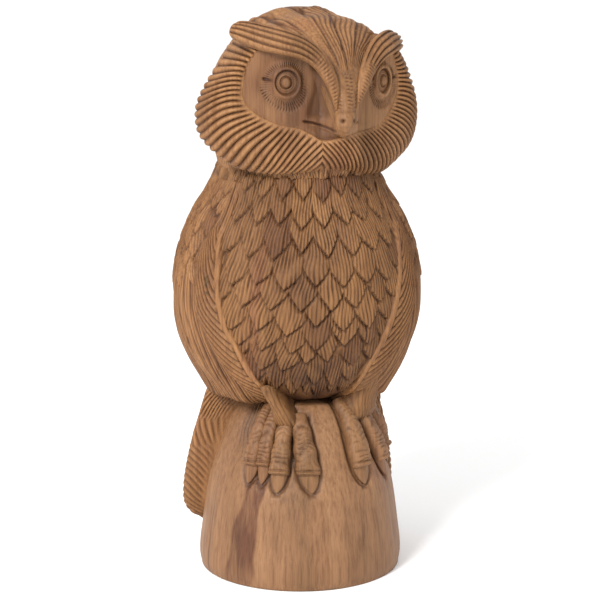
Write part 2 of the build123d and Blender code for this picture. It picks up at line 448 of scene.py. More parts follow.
def breast_rows(relief):
    """Rows of scales all round the torso, lowest first so that each row lies over the one below it."""
    r = np.random.default_rng(3)
    for k, (tip, width, length, rise) in enumerate(BREAST_ROWS):
        ragged = 1.3 if tip < 125 else 0.7
        slant = interp(tip, [100, 130, 160, 200, 220], [0.42, 0.30, 0.20, 0.12, 0.05])
        x = -186 + (k % 2) * width / 2
        while x < 188:
            lean = slant * interp(x, [-60, -35, -5, 10, 45], [1, 1, 0.2, 0, -0.5])
            lean += 0.07 * ragged * r.standard_normal()
            edges = (interp(x, [-50, -15], [0.2, 1]), interp(x, [2, 32], [1, 0.2]))
            x_tip, z_tip, wide = (a + b * r.standard_normal() for a, b in (
                (x, 0.9 * ragged), (tip, 1.6 * ragged), (width, 0.08 * width)))
            blunt = 0.45 if tip < 122 and x > 5 else 0.14 + 0.1 * r.standard_normal()
            relief.feather(x_tip, z_tip, wide, length, lean, rise, blunt=blunt, edges=edges)
            x += width * 0.985


def make_torso():
    """The body: a turned outline with rows of scales carved into it."""
    columns = radians(np.concatenate([linspace(a, b, n, endpoint=False) for a, b, n in TORSO_COLUMNS]))
    outline = curve(TORSO_R[::8], 235)
    relief = Relief(columns * TORSO_MM, outline[:, 1:2])
    relief.high -= 0.5
    breast_rows(relief)
    x, z = relief.x, relief.z
    grid = round_body(columns, outline[:, :1], outline[:, 1:2], BODY_Y)
    ends = ramp(z, 97.5, 100) * fall(z, 222, 226)
    high = (relief.high + 0.5 * wobble(x, z, 8, 40)) * ends - 0.4
    patch = 0.18 * wobble(x, z * 0.4, 5, 30)
    # painted shade low on the body, where it draws in above the post: the tone darkened there, and painted
    # shade added at the foot and under the breast
    lowest = 1 - ramp(z, 99, 111)
    shade = 0.10 * fall(z, 118, 150) + 0.14 * fall(z, 108, 128)
    shadow = fall(z, 112, 132) * unit(0.26 + 0.30 * wobble(x, z, 6, 13))
    values = carving(relief.painted_shade + shadow + 0.4 * lowest, relief.tone + patch - shade)
    make_piece("torso", "wood_body", add_turned, carved(grid, high, True), values)


POST_MM = 50
# Heights at which the place and the width of the dark streak are given
STREAK_Z = [0, 8, 26, 46, 64, 90]


def make_post():
    """The post: worn surface, tracks cut round the toes, a dark streak, two cracks and a hollow by a foot."""
    columns = radians(linspace(-180, 180, 620, endpoint=False))
    outline = curve(POST_R[::8], 200)
    grid = round_body(columns, outline[:, :1], outline[:, 1:2])
    across, up = np.broadcast_arrays(columns * POST_MM, outline[:, 1:2])
    high = 0.35 * wobble(across, up * 0.35, 11, 34) + 0.12 * wobble(across * 2.5, up * 0.2, 12, 14)
    # painted shade, gathered below: in the tracks cut round the toes, in the two cracks and in the hollow by
    # the foot
    painted_shade = np.zeros(across.shape)
    for track in TOE_TRACKS:
        d = toe_distance(across / POST_MM, up, track)
        high -= 1.5 * exp(-(clip(d, 0, None) / 1.5) ** 2)
        painted_shade = maximum(painted_shade, 0.7 * exp(-((d - 0.3) / 1.1) ** 2))
    streak_x = interp(up, STREAK_Z, [-48.5, -47, -44.5, -41.4, -39.5, -38]) + 0.8 * sin(up / 7)
    half = interp(up, STREAK_Z, [7.5, 9, 7.5, 6.4, 6.0, 7.0]) + 0.9 * sin(up / 4.3 + 1)
    off = abs(across - streak_x)
    streak = unit((half - off) / 1.6 + 0.3) * fall(up, 88, 97) * (0.35 + 0.65 * ramp(up, 2, 16))
    pale = unit(0.2 + 0.9 * wobble(across * 2.2, up * 0.5, 15, 12)) * fall(off, 2, 5)
    streak = streak * (1 - 0.5 * pale)
    hollow = ramp(across, -68, -60) * fall(across, -46, -42) * ramp(up, 66, 80)
    rays = vee((across + 0.35 * up) / 3.4 + 0.3 * wobble(across, up, 16, 14), 1.6)
    high -= hollow * (1.2 + 0.9 * rays)
    line = bump(across, -70.5 + 0.03 * up, 0.35) * fall(up, 30, 42)
    line = line + 0.6 * bump(across, 20 - 0.02 * up, 0.4) * fall(up, 40, 48) * ramp(up, 18, 26)
    high -= 0.2 * line
    # painted shade in the cracks and in the hollow, heavier in its rays
    painted_shade = painted_shade + 0.8 * line + hollow * (0.25 + 0.6 * rays)
    tone = 0.5 + 0.10 * wobble(across, up * 0.12, 14, 20)
    out = carved(grid, high * ramp(up, 0.1, 1.2), True)
    make_piece("post", "wood_post", add_turned, out, carving(painted_shade, tone, streak))


# ---- wings

# The wings' front edges and their back edge, as (height, degrees from ahead)
LEADS = {"right": [(218, -50), (208, -54.5), (200, -57.5), (194, -59), (180, -58), (165, -56), (147, -52.6),
                   (132, -46.5), (116, -41), (109, -36.6), (103, -33), (96, -30)],
         "left": [(218, 44), (208, 47), (200, 50), (194, 51), (188, 49), (172, 43.6), (154, 36.8), (140, 32),
                  (126, 25.8), (116, 22), (106, 22), (96, 26)]}
TRAIL = [(218, 105), (204, 122), (184, 138), (162, 146), (142, 146), (124, 140), (110, 128), (101, 112),
         (96, 98)]
WING_FOOT, WING_TOP = 96.5, 218.0
# Millimetres and columns across the sheet on which the wings' scales are drawn
SCALE_REACH, SCALE_COLUMNS = 190, 460
# Heights and spacings of the barbs
BARB_Z, BARB_PITCH = [96, 104, 120, 140, 165, 190], [3.2, 3.4, 4.4, 5.2, 6.2, 6.6]


def make_wing(side):
    """A folded wing: long lines, scales on the shoulder, and barbs along a smooth shaft in front."""
    sign = -1 if side == "right" else 1
    outline = curve(WING_R[::10], 250)
    z = outline[(outline[:, 1] > WING_FOOT) & (outline[:, 1] < WING_TOP)][:, 1]
    lead = curve(LEADS[side][::-1], 300)
    trail = curve(TRAIL[::-1], 300)
    start_a = abs(radians(interp(z, lead[:, 0], lead[:, 1])))[:, None]
    end_a = radians(interp(z, trail[:, 0], trail[:, 1]))[:, None]
    even = linspace(0, 1, 270)
    angle = start_a + (end_a - start_a) * (even - 0.05 * sin(2 * math.pi * even))
    up = np.broadcast_to(z[:, None], angle.shape)
    far = (angle - start_a) * radius_at(WING_R, up)
    back = (end_a - angle) * radius_at(WING_R, up)
    relief = Relief(far, up)

    # long lines that run down from the neck and swing forward at the foot of the wing
    shift = interp(up, [96, 109, 122, 133, 150, 165, 180, 191, 213],
                   [-12, -9.4, -6, -3, 0, 0, -0.5, -3.5, -5])
    turned = np.degrees(angle)
    flow = turned - shift * unit(1 - (turned - 58) / 50)
    fine = vee(flow * 1.08 / 2.3 + 0.45 * wobble(flow, up * 0.45, 21, 20), 1.1)
    bold = vee(flow * 1.08 / 5.6 + 0.45 * wobble(flow, up * 0.35, 22, 26), 3.2)
    broken = 0.45 + 0.55 * ramp(wobble(flow * 1.5, up * 0.5, 27, 13), -0.7, 0.4)
    relief.high = 0.7 * wobble(flow, up * 0.4, 28, 13) - 1.0 * fine * broken - 1.4 * bold
    # painted shade in the long lines, whose tone is darkened too
    relief.painted_shade = unit(fine * broken + bold)
    relief.tone += 0.12 - 0.22 * fine * broken + 0.10 * wobble(flow, up * 0.2, 30, 14)

    # rows of scales on the upper wing, drawn flat and then wrapped on
    scales = Relief(linspace(0, SCALE_REACH, SCALE_COLUMNS), z[:, None])
    scales.high[:] = -99
    for k, (tip, width) in enumerate([(159, 14), (170, 12), (180, 11), (189, 10), (198, 9), (206, 8)]):
        x = 8 + (k % 2) * width / 2
        while x < SCALE_REACH:
            scales.feather(x + rng.normal() * 1.4, tip + rng.normal() * 2.4 + 0.03 * x, width, 27,
                           0.10 + 0.10 * rng.normal(), 1.0, 2.0, 1.2)
            x += width
    last = SCALE_COLUMNS - 1
    pick = (np.arange(len(z))[:, None], clip(np.round(far / SCALE_REACH * last).astype(int), 0, last))
    start = interp(up, [150, 170, 195, 210], [20, 14, 9, 7]) + 3 * wobble(up, 0, 26, 30)
    over = (scales.high[pick] > -50) & (far > start)
    relief.lay(over, scales.high[pick] - 0.4, scales.painted_shade[pick], scales.tone[pick])

    # barbs that leave the smooth shaft and bend upwards into the long lines
    past = far - 3.0
    steps = linspace(90, 225, 600)
    count = np.cumsum(0.225 / interp(steps, BARB_Z, BARB_PITCH))
    slope = interp(up, [110, 130, 150, 170, 190], [0.45, 0.50, 0.65, 1.0, 1.6])
    bend = interp(up, [110, 130, 150, 170, 190], [0.04, 0.05, 0.07, 0.13, 0.3])
    climb = slope * clip(past, 0, 24) + bend * clip(past, 0, 24) ** 2
    phase = interp(up, steps, count) - climb / interp(up, BARB_Z, BARB_PITCH)
    phase = phase + 0.16 * wobble(far, up, 23, 22)
    barb = vee(phase, 2.2)
    belly = 1 - 1.1 * (phase % 1)
    reach = interp(up, [100, 125, 150, 175, 195], [9, 14, 16, 13, 6])
    in_barbs = ramp(past, 1.4, 2.2) * (1 - ramp(past, reach - 1.5, reach + 2.5)) * fall(up, 188, 200)
    high = relief.high * (1 - in_barbs) + in_barbs * (1.5 * belly - 1.5 * barb)
    # painted shade in the barbs' cuts, and each barb's raised belly painted lighter in the tone
    painted_shade = relief.painted_shade * (1 - in_barbs) + in_barbs * unit(1.3 * barb + 0.3 * (phase % 1))
    tone = relief.tone * (1 - in_barbs) + in_barbs * (0.42 + 0.26 * belly)
    shaft = unit(1.6 - abs(past + 0.2) / 1.5) * fall(up, 186, 202)
    high = high * (1 - shaft) + shaft * (0.7 + 0.25 * wobble(far * 3, up, 24, 14))
    # painted shade along the seam where the wing's front edge meets the body, and none on the smooth shaft
    seam = 1 - ramp(far, 0.2, 1.3)
    painted_shade = maximum(painted_shade * (1 - shaft), 0.55 * seam * fall(up, 190, 206))
    tone = tone + 0.16 * wobble(far, up * 0.3, 25, 26) + 0.10 * shaft
    crack = bump(far, 9.5 + 0.5 * sin(up * 1.9), 1.0) * ramp(up, 157, 159) * fall(up, 166, 170)
    crack = crack * ramp(wobble(far * 3, up * 2, 29, 6), -0.9, 0.2) * (side == "right")

    edge = minimum(minimum(far / 2.6, back / 4.6),
                   minimum((up - WING_FOOT + 1) / 4.0, (WING_TOP + 2 - up) / 10))
    round_off = quarter(edge)
    torso_r = radius_at(TORSO_R, up) - 1.2
    start_r = torso_r + 2.6
    full_r = start_r + (radius_at(WING_R, up) - start_r) * ramp(far, 1, 26)
    radius = torso_r + (full_r - torso_r) * round_off
    outer = round_body(sign * angle, radius, up, BODY_Y)
    keep = some(12, len(z))
    inner = round_body(sign * angle[keep], torso_r[keep] - 1.0, up[keep], BODY_Y)
    high = high * ramp(round_off, 0.2, 0.9)
    values = carving(painted_shade, tone, crack)
    if sign < 0:
        outer, inner, high, values = (g[:, ::-1] for g in (outer, inner, high, values))
    make_piece(f"wing_{side}", "wood_wing", add_shell, carved(outer, high), inner, values)


# ---- tail

# The share of a row's columns in each side wall, and the corner's radius as an angle
TAIL_WALL = 0.16
TAIL_MM = 60
TAIL_ROUND = 4.5 / TAIL_MM
TAIL_FOOT, TAIL_TOP = 19.5, 99


def make_tail():
    """The fan of tail feathers behind the post: ribbed at the sides, with barbed blades at the back."""
    z = linspace(TAIL_FOOT, TAIL_TOP, 165)
    half = radians(interp(z, [22, 26, 34, 50, 80, 99], [66, 71, 73.5, 74, 75, 80]))[:, None]
    path = np.concatenate([linspace(0, TAIL_WALL, 50, endpoint=False),
                           linspace(TAIL_WALL, 1 - TAIL_WALL, 210, endpoint=False),
                           linspace(1 - TAIL_WALL, 1, 50)])
    side = minimum(path, 1 - path)
    wall = unit(side / TAIL_WALL) * math.pi / 2
    inner_r, outer_r = radius_at(POST_R, z)[:, None] - 2.0, radius_at(TAIL_R, z)[:, None]
    radius = inner_r + (outer_r - inner_r) * sin(wall) ** 0.7
    corner = half - TAIL_ROUND
    swing = where(side < TAIL_WALL, half - (1 - cos(wall) ** 0.7) * TAIL_ROUND,
                  corner * (0.5 - side) / (0.5 - TAIL_WALL))
    angle = math.pi + swing * np.sign(path - 0.5)
    up = np.broadcast_to(z[:, None], angle.shape)

    in_wall = outer_r - radius
    behind = clip((corner - swing) * TAIL_MM, 0, None)
    wave = 0.8 * wobble(behind - in_wall, up, 31, 22)
    low = vee((up + 0.85 * in_wall - 0.6 * behind + wave) / 3.7, 1.4)
    mid = vee((0.6 * up + 1.25 * in_wall - 0.6 * behind + 2 * wave) / 4.2, 1.6)
    top = vee((0.5 * up - 1.2 * in_wall - 0.3 * behind + 2 * wave) / 2.6, 1.4)
    ribs = low * fall(up, 62, 68) + mid * ramp(up, 62, 68) * fall(up, 78, 84) + top * ramp(up, 78, 84)
    blade = (behind - 28 + 1.2 * wobble(behind, up * 0.4, 32, 30) + 0.06 * (up - 60)) / 13.5
    across = blade - np.floor(blade) - 0.5
    barb = vee((up + 13 * abs(across) + 0.8 * wobble(behind, up, 34, 12)) / 3.1, 1.3)
    quill = bump(across, 0, 0.05)
    middle = ramp(behind, 27, 30)
    cut = ribs * (1 - middle) + middle * maximum(barb * (1 - quill) * 0.62, vee(blade, 7))
    high = 0.3 - 1.3 * cut + middle * (0.9 * cos(math.pi * across) + 0.5 * quill - 0.4)
    soft = unit(minimum(minimum(up - TAIL_FOOT, TAIL_TOP - up) / 4, side / 0.02))

    centre = round_body(angle, inner_r, up)
    outer = centre + (round_body(angle, radius, up) - centre) * quarter((up - 19) / 5)[..., None]
    inner = centre[some(8, len(z))] * np.array([0.96, 0.96, 1])
    # painted shade in the cuts of the ribs and the barbs
    values = carving(0.85 * cut * soft, 0.55 + 0.1 * wobble(behind, up * 0.3, 33, 25))
    make_piece("tail", "wood_wing", add_shell, carved(outer, high * soft), inner, values)


# ---- feet

# One toe each: side, degrees from ahead at its root and at its end, heights of its end and root, breadth
TOE_TRACKS = [("right", -48, -50.8, 64.5, 95.5, 0.92), ("right", -39.5, -41.5, 65, 95.5, 0.80),
              ("right", -28.5, -30.7, 61.5, 93, 1.0), ("right", -17, -11.3, 61.5, 91, 1.18),
              ("left", 27, 27.8, 62.5, 96, 1.22), ("left", 44, 52.5, 61.5, 95, 1.05),
              ("left", 63, 72, 64.5, 95, 1.05), ("left", 80, 88, 65.5, 94, 0.9)]
CLAW_LENGTH = 10.0


def toe_distance(angle, up, track):
    """Distance in mm from the outline of a toe and its claw, negative within it."""
    _, a_root, a_end, z_end, z_root, breadth = track
    t = clip((z_root - up) / (z_root - z_end), 0, 1.6)
    centre = radians(a_root + (a_end - a_root) * t)
    heights = [z_end - CLAW_LENGTH, z_end - 8.6, z_end - 6, z_end - 3, z_end + 4, z_end + 14, z_root]
    half = interp(up, heights, [0.6, 2.3, 3.6, 4.6, 5.3, 5.0, 3.4]) * breadth
    side = abs(angle - centre) * radius_at(POST_R, up)
    return maximum(side - half, maximum(z_end - CLAW_LENGTH - up, up - z_root))


# The section of a toe or claw: height of its round top, share of its half width, and depth of its base
SECTION = linspace(0, 2 * math.pi, 48, endpoint=False)
ROUND_TOP = unit(sin(SECTION)) ** 0.8
SPREAD = np.sign(cos(SECTION)) * abs(cos(SECTION)) ** 0.75
BASE = 2.2 * unit(-sin(SECTION))


def on_post(track, up, across, lift):
    """Points on a toe's track at some distance across it, lifted off the post along its slope."""
    _, a_root, a_end, z_end, z_root, _ = track
    t = (z_root - up) / (z_root - z_end)
    r = radius_at(POST_R, up)
    angle = radians(a_root + (a_end - a_root) * t) + across / r
    slope = radius_at(POST_R, up + 0.5) - radius_at(POST_R, up - 0.5)
    tilt = sqrt(1 + slope ** 2)
    return round_body(angle, r + lift / tilt, up - lift * slope / tilt)


def make_feet(side):
    """Four ringed and wrinkled toes, and a smooth claw at the end of each."""
    toes, claws = Shape(), Shape()
    tracks = [track for track in TOE_TRACKS if track[0] == side]
    for k, track in enumerate(tracks):
        z_end, z_root, breadth = track[3:]
        window = (k / 4 + 0.005, 0.01, (k + 1) / 4 - 0.005, 0.99)
        streak = 0.5 if side == "right" and k < 2 else 0.0

        up = linspace(z_root, z_end, 150)[:, None]
        t = (z_root - up) / (z_root - z_end)
        half = interp(t, [0, 0.35, 0.7, 0.9, 0.975, 1.0], [3.0, 4.4, 5.2, 5.5, 5.3, 4.9])
        across = SPREAD * (half + 0.28 * sin(t * 19 + k)) * breadth
        wave = up / 2.7 + 0.10 * abs(across) + 0.75 * wobble(across * 1.5, up, 40 + k, 11)
        broken = 0.35 + 0.65 * ramp(wobble(across * 2, up, 140 + k, 7), -0.6, 0.2)
        wrinkles = 0.5 * wobble(across, up, 150 + k, 8) - 0.75 * vee(wave, 2.0) * broken
        lip = bump(t, 0.975, 0.02) * 0.8 - bump(t, 0.93, 0.02) * 0.7
        mark = (wrinkles * ramp(t, 0.05, 0.2) * fall(t, 0.9, 0.98) + 0.25 + lip) * ROUND_TOP
        height = interp(t, [0, 0.3, 0.6, 0.85, 0.96, 1.0], [3.0, 5.0, 6.2, 5.8, 5.2, 3.4])
        grid = on_post(track, up, across, height * ROUND_TOP - BASE + mark)
        # painted shade in the wrinkles, on the toe's sides down against the post, and towards its root under
        # the leg
        painted_shade = unit(0.12 - mark) * 0.7 + 0.4 * (1 - ROUND_TOP) + 0.18 * (1 - t) ** 2
        add_tube(toes, grid, carving(painted_shade, 0.5, streak), window)

        up = linspace(z_end + 1.5, z_end - CLAW_LENGTH + 1, 50)[:, None]
        t = unit((z_end + 1.5 - up) / (CLAW_LENGTH + 0.5))
        across = SPREAD * (4.5 * (1 - t ** 2) ** 0.75 + 0.15) * breadth
        mark = -0.075 * abs(across) ** 1.5
        height = 2.3 * (1 - t ** 1.3) + 0.35
        grid = on_post(track, up, across, (height + mark) * ROUND_TOP - BASE)
        # painted shade on the claw's sides down against the post
        add_tube(claws, grid, carving(0.5 * (1 - ROUND_TOP), 0.5, streak), window)
    toes.make(f"toes_{side}", "wood_feet")
    claws.make(f"claws_{side}", "wood_feet")


# Middle and half width in degrees, at the top and at the foot of each shank
SHANKS = {"right": (-36, 6.5, -27.5, 12), "left": (45, 17, 50, 25)}
SHANK_FOOT, SHANK_TOP = 84.5, 109


def make_leg(side):
    """The feathered shank: a fan from under the wing that spreads over the roots of the toes."""
    top_a, top_half, low_a, low_half = SHANKS[side]
    t = linspace(0, 1, 90)[::-1, None]
    q = linspace(-1, 1, 150)
    half = top_half + (low_half - top_half) * t ** 1.3
    angle = radians(top_a + (low_a - top_a) * t ** 1.2 + half * q)
    up = SHANK_TOP - (SHANK_TOP - SHANK_FOOT) * t + 1.5 * q ** 2 * t
    ring_r = interp(up, [82, 86, 90, 95, 100, 105, 110], [44.5, 44.5, 44.0, 44.5, 47.5, 51, 54])
    dome = sqrt(unit(1 - abs(q) ** 3.0)) * sqrt(unit(1 - t ** 7))
    inner_r = radius_at(POST_R, minimum(up, 96)) - 2
    shift = BODY_Y * (1 - ramp(t, 0.1, 0.7))
    outer = round_body(angle, inner_r + (ring_r - inner_r) * dome, up, shift)
    lines = vee(q * half * 0.62 / 1.6 + 0.4 * wobble(q * 20, t * 30, 51, 18), 1.4)
    clefts = vee(q * 2.0, 2.5) * ramp(t, 0.72, 1.0)
    high = (-0.35 * lines - 0.8 * clefts) * ramp(dome, 0.3, 0.9)
    inner = round_body(angle, inner_r - 3, up, shift)[some(6, 90)]
    # painted shade in the lines and clefts, and along the edges where the shank goes down into the post
    painted_shade = 0.45 * lines + 0.5 * clefts + 0.5 * (1 - ramp(dome, 0.3, 0.8))
    values = carving(painted_shade, 0.5 + 0.1 * wobble(q * 20, t[::-1] * 8, 52, 14))
    make_piece(f"leg_{side}", "wood_body", add_shell, carved(outer, high), inner, values)


# ---- head, built facing -Y

HEAD_R = curve([(43, 219), (49.5, 232), (52.5, 247), (51.5, 261), (48, 274), (42, 285), (33.5, 294),
                (21.5, 301.5), (10, 305), (2.0, 306)], 400)
# The border between the smooth cheeks and the ruff, and the ruff's rim, round by the chin, as (x, z)
CHEEK_EDGE = [(-33.5, 292), (-39, 285.5), (-43.6, 277), (-45.3, 268), (-45.4, 261.5), (-42.5, 256),
              (-36, 251), (-27.5, 247.6), (-19.5, 246), (-13, 242.5), (-8, 239.5), (-1, 240), (8, 242.5),
              (18, 244), (27, 246.5), (33.5, 251), (38, 257), (40.3, 264), (40, 272), (37.5, 279),
              (34.5, 288)]
RUFF_RIM = [(-37, 293), (-49, 281.5), (-58, 270), (-63.2, 259), (-64.0, 249), (-61.6, 240.5), (-55, 232.3),
            (-46.5, 226.0), (-37, 223), (-26.5, 222.2), (-15.5, 223), (-5, 224.0), (7, 223.2), (21, 219.8),
            (36, 218), (49, 221), (55.2, 230.5), (56.2, 243), (55.2, 256), (52.6, 268.5), (49.2, 279),
            (43, 289)]
# The eyes' centres, as (x, z), and the radius of their openings
EYES = {"right": (-25.7, 269.6), "left": (29.6, 268.8)}
EYE_HOLE = 6.5
# Degrees by which each eye's rings turn outwards, and their width over their height
EYE_TILT = {"right": -20, "left": 24}
EYE_WIDE = {"right": 0.92, "left": 0.74}


def ruff_y(x, z):
    """The front of the ruff's rim."""
    inside = 1 - (x / 67) ** 2 - ((z - 252) / 47) ** 2
    return 2 - 54 * sqrt(maximum(inside, 0.035))


# The brows' lower edge, as (x, z), and distances from the chin as shares of the length of the rim
BROW_EDGE = [(-47, 295), (-37.5, 292.7), (-27.5, 290), (-19, 287), (-11.8, 281.4), (-7.2, 274.2), (-4.3, 266),
             (3, 262), (9.4, 260), (12.4, 267), (16, 274), (20.5, 280), (26.5, 285), (33.5, 288),
             (40.5, 289.5)]
RUFF_AWAY = [0.05, 0.12, 0.20, 0.30, 0.38, 0.46]


def brow_line(x):
    """Height of the brows' lower edge, above which the cheeks drop away behind the forehead."""
    return interp(x, *zip(*BROW_EDGE))


def hollow_edge(z):
    """Where the cheek starts to sink beside the bill."""
    return interp(z, [250, 257, 265, 272, 280], [-17.5, -16.4, -14.4, -13.8, -15.5])


def cheek_y(x, z):
    """The front of the smooth cheeks, before the features are cut."""
    bend = 34 - sqrt(81 ** 2 - x ** 2)
    chin = 2.5 * fall(z, 240, 250) * bump(x, 0, 16)
    middle = interp(z, [240, 250, 262, 280], [1.8, 1.8, 3.0, 4.0])
    wide = interp(z, [240, 250, 258, 266, 275], [4.0, 5.0, 5.0, 7.0, 11.0])
    height = interp(z, [241, 246, 250, 262, 270, 277], [1.0, 4.5, 7.5, 8.5, 6.0, 2.0])
    reach = unit((abs(x - middle) - wide + 2) / where(x < middle, 8.0, 10.0))
    wedge = height * (1 - reach ** 2 * (3 - 2 * reach))
    hollow = 1.7 * ramp(x - hollow_edge(z), 0, 5.0) * fall(x, -7, -2) * ramp(z, 250, 254) * fall(z, 280, 286)
    top = 14.0 * ramp(z - brow_line(x), -1.5, 6)
    left_end = interp(z, [268, 277, 285.5, 292], [-45.3, -43.6, -39, -33.5])
    right_end = interp(z, [264, 272, 279, 288], [40.3, 40, 37.5, 34.5])
    beyond = clip(left_end - x, 0, None) + clip(x - right_end, 0, None)
    return bend - chin - wedge + hollow + top + beyond * (z > 262)


def make_ruff():
    """The collar: ribs that fan from the cheeks' border to a curled rim, and a back that meets the head."""
    edge, rim = curve(CHEEK_EDGE, 900), curve(RUFF_RIM, 900)
    w = linspace(0, 1, 46)[:, None]
    x, z = (edge[:, k] * (1 - w) + rim[:, k] * w for k in (0, 1))
    drop = (1 - sqrt(1 - (0.97 * w) ** 2)) / 0.757
    y_edge = cheek_y(edge[:, 0], edge[:, 1]) + 0.2
    y_rim = ruff_y(rim[:, 0], rim[:, 1])
    y = y_edge * (1 - drop) + y_rim * drop
    face = together(x, y, z)
    along = direction(face[-1] - face[-3])
    normal = direction(np.cross(np.gradient(face[-1], axis=0), along))
    normal *= np.sign(-(normal[:, 1:2]) + 1e-9)
    theta = radians(linspace(12, 165, 16))[:, None, None]
    curl = 2.2
    under = face[-1][None] + curl * sin(theta) * along - curl * (1 - cos(theta)) * normal
    sheet = np.vstack([face, under])

    # tau runs along the rim and is about a half at the chin, depth runs out to the rim and round its curl
    tau = linspace(0, 1, 900)
    depth = np.concatenate([w[:, 0], 1 + linspace(0.05, 0.5, 16)])[:, None]
    off = tau - 0.487
    away = abs(off)
    inside = unit(depth)
    spread = interp(away, [0, 0.2, 0.5], [0, 0.185, 0.5])
    count = where(off < 0, 31, 36) / 0.5
    fan = interp(away, RUFF_AWAY, [-0.045, -0.06, -0.075, -0.085, -0.065, -0.03])
    droop = interp(away, RUFF_AWAY, [0.010, 0.045, 0.065, 0.075, 0.045, -0.01])
    chevron = 1.6 * inside * exp(-(away / 0.06) ** 2)
    noise = 0.14 * wobble(tau * 300, depth * 12, 61, 34)
    phase = count * (spread + fan * inside + droop * inside ** 2.2) - chevron + noise
    ridge = abs(sin(math.pi * phase)) ** 0.7
    fade = ramp(depth, -0.02, 0.16) * fall(depth, 1.35, 1.5)
    deep = interp(away, [0, 0.1, 0.5], [0.8, 1.0, 1.0])
    high = (2.2 * ridge - 1.5) * deep * fade * (1 - 0.35 * ramp(depth, 0.8, 1.0))
    # painted shade in the grooves between the ribs and on the back of the curled rim, and the ribs' tops
    # lighter in the tone
    painted_shade = maximum(unit((1 - ridge) ** 1.15 * 1.3) * fade, 0.5 * ramp(depth, 1.3, 1.5))
    grain = vee(tau * 900 / 2.6 + 2 * depth + 0.5 * wobble(tau * 300, depth * 25, 62, 12), 1.5)
    high -= 0.10 * grain * fade
    tone = 0.38 + 0.36 * ridge + 0.12 * wobble(tau * 300, depth * 25, 63, 22)
    # rows run out from the face here, so the normals point back and the heights are turned round
    outer = carved(sheet, -high)

    core = np.array([0.0, -4.0, 255.0])
    inner_edge = sheet[0] * 0.93 + core * 0.07
    # the collar's back slopes away from the rim and runs into the side of the head
    inner_rim = under[-1] * 0.75 + core * 0.25
    inner_rim[:, 1] += 15 * ramp(abs(inner_rim[:, 0]), 24, 44)
    inner = stack([inner_edge + (inner_rim - inner_edge) * k for k in (0, 0.5, 1)])
    inner[1] += (core - inner[1]) * 0.04
    grids = (outer[::-1], inner[::-1], carving(painted_shade, tone)[::-1])
    make_piece("ruff", "wood_head", add_shell, *grids, turn=HEAD_TURN)


def eye_terms(x, z, side):
    """Height and painted shade that an eye's lid, socket and lashes give the cheek."""
    ex, ez = EYES[side]
    outwards = -1 if side == "right" else 1
    dx, dz = (x - ex) / math.cos(math.radians(20)) * outwards, z - ez
    r = hypot(dx / EYE_WIDE[side], dz)
    round_ = np.arctan2(dz, dx)
    lid = 1.5 * bump(r, EYE_HOLE + 0.9, 1.5)
    socket = -4.6 * fall(r, EYE_HOLE - 1.0, EYE_HOLE - 0.4)
    hollow = -0.8 * bump(r, 12.8, 3.0)
    ticks = vee(round_ * 56 / (2 * math.pi) + 0.45 * wobble(dx, dz, 71, 9), 1.5)
    place = 9.7 + 1.0 * fall(dz, -6, 0) + 0.7 * sin(round_ * 3 + 1)
    ring = bump(r, place, 1.5) + 0.9 * bump(r, place + 2.7, 1.0) * fall(dz, -5, 1)
    ring = unit(ring) * (0.45 + 0.55 * ramp(wobble(dx, dz, 75, 10), -0.9, 0.3))
    corner = bump(dz - 0.25 * (dx - 8) - 1.2, 0.0, 0.8) * ramp(dx, 6.8, 8.0) * fall(dx, 10, 12.5)
    high = lid + hollow - 1.2 * ticks * ring - 1.5 * corner
    high = where(r < EYE_HOLE, minimum(high, 0) + socket, high)
    # painted shade round the socket's edge, heavier on one side, in the lashes' cuts and the corner mark, and
    # in the hollow round the eye
    rim = 0.62 + 0.38 * cos(round_ - 2.0)
    painted_shade = 1.1 * ticks * ring + corner + rim * bump(r, EYE_HOLE - 0.5, 0.8)
    painted_shade = maximum(painted_shade, 0.35 * bump(r, 12.5, 2.6) * fall(dz, -6, 2))
    return high, painted_shade


